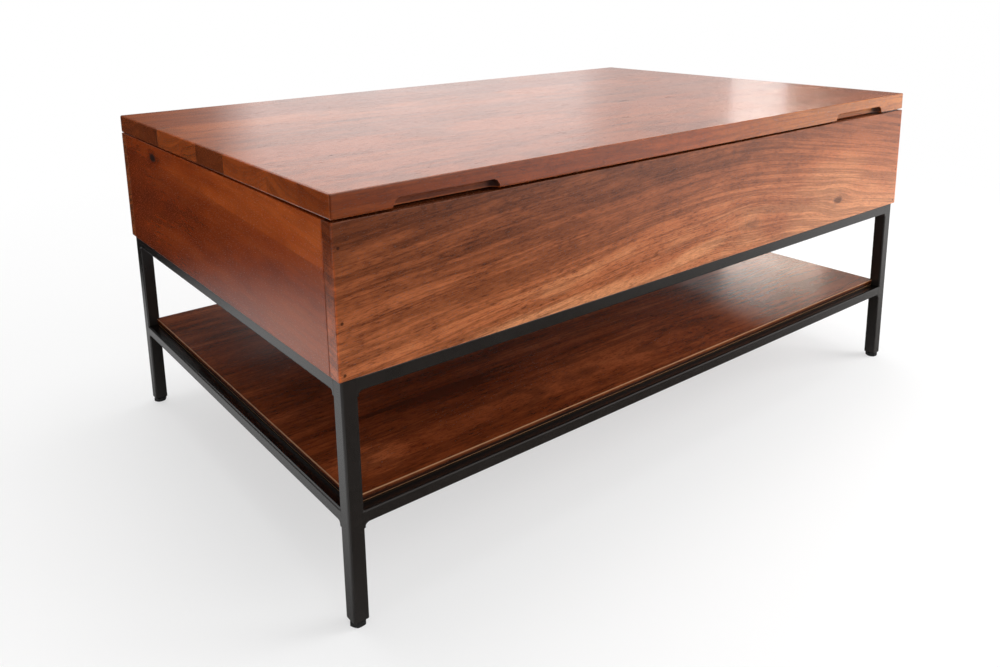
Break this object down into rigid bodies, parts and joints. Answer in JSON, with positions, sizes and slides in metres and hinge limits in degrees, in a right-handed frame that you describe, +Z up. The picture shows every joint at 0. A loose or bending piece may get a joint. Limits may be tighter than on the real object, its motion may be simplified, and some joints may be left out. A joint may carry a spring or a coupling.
{
  "type": "lift-top coffee table",
  "caption": "Rectangular wooden coffee table on a black square-tube frame, with a lower shelf and a storage box whose lid lifts up and forward on sprung arms.",
  "frame": {"origin": "on the floor under the middle of the table", "axes": "+X along the long side, to the right as seen from the front; +Z up; the front, with the finger notches, faces -Y"},
  "size_m": [1.1, 0.7, 0.485],
  "materials": {
    "frame_steel": "black powder coat, satin",
    "black_plastic": "moulded, satin",
    "lid_wood": "red-brown stain under semi-gloss lacquer",
    "box_wood": "red-brown stain under semi-gloss lacquer",
    "shelf_wood": "red-brown stain under semi-gloss lacquer",
    "inner_wood": "light stain, matt",
    "rubber": "matt",
    "lift_steel": "dark grey powder coat",
    "pin_steel": "zinc plated",
    "spring_steel": "oiled spring wire"
  },
  "bodies": {
    "table_base": {"leg_front_left": "frame_steel", "leg_front_right": "frame_steel", "leg_rear_left": "frame_steel", "leg_rear_right": "frame_steel", "upper_rail_front": "frame_steel", "upper_rail_rear": "frame_steel", "upper_rail_left": "frame_steel", "upper_rail_right": "frame_steel", "lower_rail_front": "frame_steel", "lower_rail_rear": "frame_steel", "lower_rail_left": "frame_steel", "lower_rail_right": "frame_steel", "leg_plug_front_left": "black_plastic", "leg_plug_front_right": "black_plastic", "leg_plug_rear_left": "black_plastic", "leg_plug_rear_right": "black_plastic", "shelf_panel": "shelf_wood", "front_panel": "box_wood", "rear_panel": "box_wood", "left_panel": "box_wood", "right_panel": "box_wood", "bottom_panel": "inner_wood", "corner_block_front_left": "inner_wood", "corner_block_front_right": "inner_wood", "corner_block_rear_left": "inner_wood", "corner_block_rear_right": "inner_wood", "lid_bumper_front_left": "rubber", "lid_bumper_front_right": "rubber", "lid_bumper_rear_left": "rubber", "lid_bumper_rear_right": "rubber", "base_bracket_left": "lift_steel", "base_bracket_right": "lift_steel", "main_lower_pin_left": "pin_steel", "main_lower_pin_right": "pin_steel", "follower_lower_pin_left": "pin_steel", "follower_lower_pin_right": "pin_steel", "spring_post_left": "pin_steel", "spring_post_right": "pin_steel", "lift_spring_left": "spring_steel", "lift_spring_right": "spring_steel"},
    "main_arms": {"main_arm_left": "lift_steel", "main_arm_right": "lift_steel", "sync_tube": "lift_steel", "spring_lever_pin_left": "pin_steel", "spring_lever_pin_right": "pin_steel"},
    "follower_left": {"follower_arm_left": "lift_steel"},
    "follower_right": {"follower_arm_right": "lift_steel"},
    "lid": {"lid_top": "lid_wood", "top_bracket_left": "lift_steel", "top_bracket_right": "lift_steel", "main_upper_pin_left": "pin_steel", "main_upper_pin_right": "pin_steel", "follower_upper_pin_left": "pin_steel", "follower_upper_pin_right": "pin_steel"},
    "foot_front_left": {"levelling_foot_front_left": "black_plastic"},
    "foot_front_right": {"levelling_foot_front_right": "black_plastic"},
    "foot_rear_left": {"levelling_foot_rear_left": "black_plastic"},
    "foot_rear_right": {"levelling_foot_rear_right": "black_plastic"}
  },
  "joints": [
    {"name": "lid_lift", "type": "hinge", "parent": "table_base", "child": "main_arms", "pos_m": [0, -0.06, 0.3458], "axis": [1, 0, 0], "range_deg": [0, 115], "deforming": ["lift_spring_left", "lift_spring_right"]},
    {"name": "follower_left_swing", "type": "hinge", "parent": "table_base", "child": "follower_left", "pos_m": [0, -0.15, 0.3658], "axis": [1, 0, 0], "range_deg": [0, 115]},
    {"name": "follower_right_swing", "type": "hinge", "parent": "table_base", "child": "follower_right", "pos_m": [0, -0.15, 0.3658], "axis": [1, 0, 0], "range_deg": [0, 115]},
    {"name": "lid_level", "type": "hinge", "parent": "main_arms", "child": "lid", "pos_m": [0, 0.18615, 0.3895], "axis": [1, 0, 0], "range_deg": [-115, 0]},
    {"name": "foot_front_left_screw", "type": "slide", "parent": "table_base", "child": "foot_front_left", "axis": [0, 0, -1], "range_m": [0, 0.008]},
    {"name": "foot_front_right_screw", "type": "slide", "parent": "table_base", "child": "foot_front_right", "axis": [0, 0, -1], "range_m": [0, 0.008]},
    {"name": "foot_rear_left_screw", "type": "slide", "parent": "table_base", "child": "foot_rear_left", "axis": [0, 0, -1], "range_m": [0, 0.008]},
    {"name": "foot_rear_right_screw", "type": "slide", "parent": "table_base", "child": "foot_rear_right", "axis": [0, 0, -1], "range_m": [0, 0.008]}
  ],
  "couplings": [
    {"joint": "follower_left_swing", "follows": "lid_lift", "ratio": 1},
    {"joint": "follower_right_swing", "follows": "lid_lift", "ratio": 1},
    {"joint": "lid_level", "follows": "lid_lift", "ratio": -1}
  ]
}
